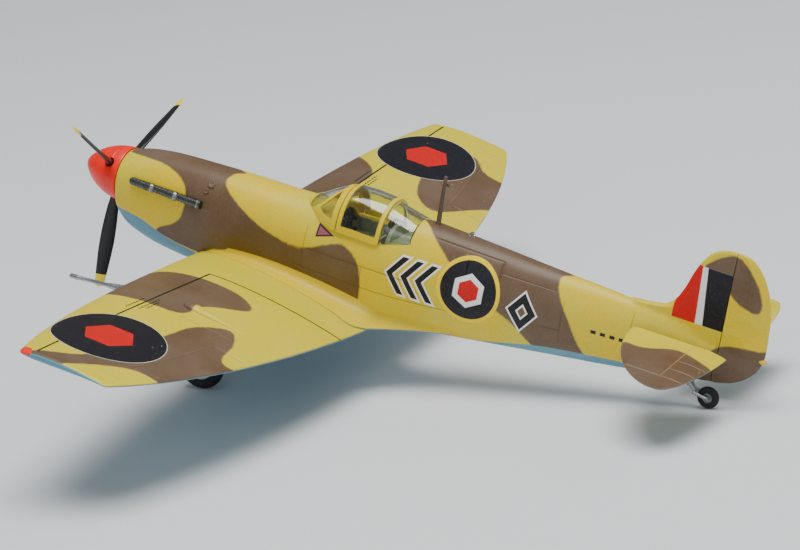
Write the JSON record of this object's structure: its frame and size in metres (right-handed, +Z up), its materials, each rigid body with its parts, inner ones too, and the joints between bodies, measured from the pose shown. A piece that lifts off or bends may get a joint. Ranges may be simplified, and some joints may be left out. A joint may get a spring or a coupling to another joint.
{
  "type": "propeller fighter plane model",
  "caption": "Scale model of a single-seat propeller fighter with clipped elliptical wing, turning propeller, rolling wheels and a sliding cockpit hood.",
  "frame": {"origin": "centre of the aircraft's box, on the level surface that its three wheels stand on", "axes": "+Z up, +X to the aircraft's port (left) wing tip, -Y towards the spinner; the aircraft sits nose-up by 14.2 degrees as it does on its wheels"},
  "size_m": [0.139, 0.1242, 0.0458],
  "materials": {
    "upper_camouflage": "satin sand and brown camouflage paint",
    "underside_blue": "satin blue-grey paint",
    "spinner_orange": "semi-gloss orange-red paint",
    "black_plastic": "satin black",
    "steel_pin": "drawn steel pin",
    "exhaust_metal": "dark metallic paint with bright edges",
    "gun_steel": "steel-coloured paint",
    "clear_canopy": "clear moulded plastic with painted frames",
    "cockpit_green": "matt grey-green paint",
    "seat_leather_brown": "matt brown paint",
    "mast_brown": "satin brown paint",
    "leg_silver": "silver paint",
    "tyre_black": "matt black"
  },
  "bodies": {
    "airframe": {"fuselage_left_half": "upper_camouflage", "fuselage_right_half": "upper_camouflage", "rudder": "upper_camouflage", "chin_cowl": "underside_blue", "wing_lower": "underside_blue", "wing_upper_left": "upper_camouflage", "wing_upper_right": "upper_camouflage", "tailplane_left": "upper_camouflage", "tailplane_right": "upper_camouflage", "shaft_bush": "black_plastic", "exhaust_left": "exhaust_metal", "exhaust_right": "exhaust_metal", "cannon_left": "gun_steel", "cannon_right": "gun_steel", "radiator_housing": "underside_blue", "oil_cooler_housing": "underside_blue", "pitot_tube": "gun_steel", "windscreen": "clear_canopy", "rear_glazing": "clear_canopy", "cockpit_floor": "cockpit_green", "seat_bulkhead": "cockpit_green", "instrument_panel": "black_plastic", "pilot_seat": "cockpit_green", "head_rest": "seat_leather_brown", "control_column": "black_plastic", "gunsight": "black_plastic", "aerial_mast": "mast_brown", "identification_light": "clear_canopy", "main_leg_left": "leg_silver", "leg_door_left": "underside_blue", "main_leg_right": "leg_silver", "leg_door_right": "underside_blue", "tail_leg": "leg_silver"},
    "propeller": {"spinner": "spinner_orange", "spinner_back_plate": "black_plastic", "propeller_hub": "black_plastic", "propeller_blade_1": "black_plastic", "propeller_blade_2": "black_plastic", "propeller_blade_3": "black_plastic", "propeller_shaft": "steel_pin", "shaft_collar": "black_plastic"},
    "left_wheel": {"main_hub_left": "leg_silver", "main_tyre_left": "tyre_black"},
    "right_wheel": {"main_hub_right": "leg_silver", "main_tyre_right": "tyre_black"},
    "tail_wheel": {"tail_hub": "leg_silver", "tail_tyre": "tyre_black"},
    "hood": {"sliding_hood": "clear_canopy"}
  },
  "joints": [
    {"name": "propeller_spin", "type": "hinge", "parent": "airframe", "child": "propeller", "pos_m": [0, -0.05596, 0.03339], "axis": [0, 0.9696, -0.2447], "continuous": true},
    {"name": "left_wheel_roll", "type": "hinge", "parent": "airframe", "child": "left_wheel", "pos_m": [0.0121, -0.03551, 0.0042], "axis": [1, 0, 0], "continuous": true},
    {"name": "right_wheel_roll", "type": "hinge", "parent": "airframe", "child": "right_wheel", "pos_m": [-0.0121, -0.03551, 0.0042], "axis": [1, 0, 0], "continuous": true},
    {"name": "tail_wheel_roll", "type": "hinge", "parent": "airframe", "child": "tail_wheel", "pos_m": [0, 0.05083, 0.0018], "axis": [1, 0, 0], "continuous": true},
    {"name": "hood_slide", "type": "slide", "parent": "airframe", "child": "hood", "axis": [0, 0.9696, -0.2447], "range_m": [0, 0.0064]}
  ]
}
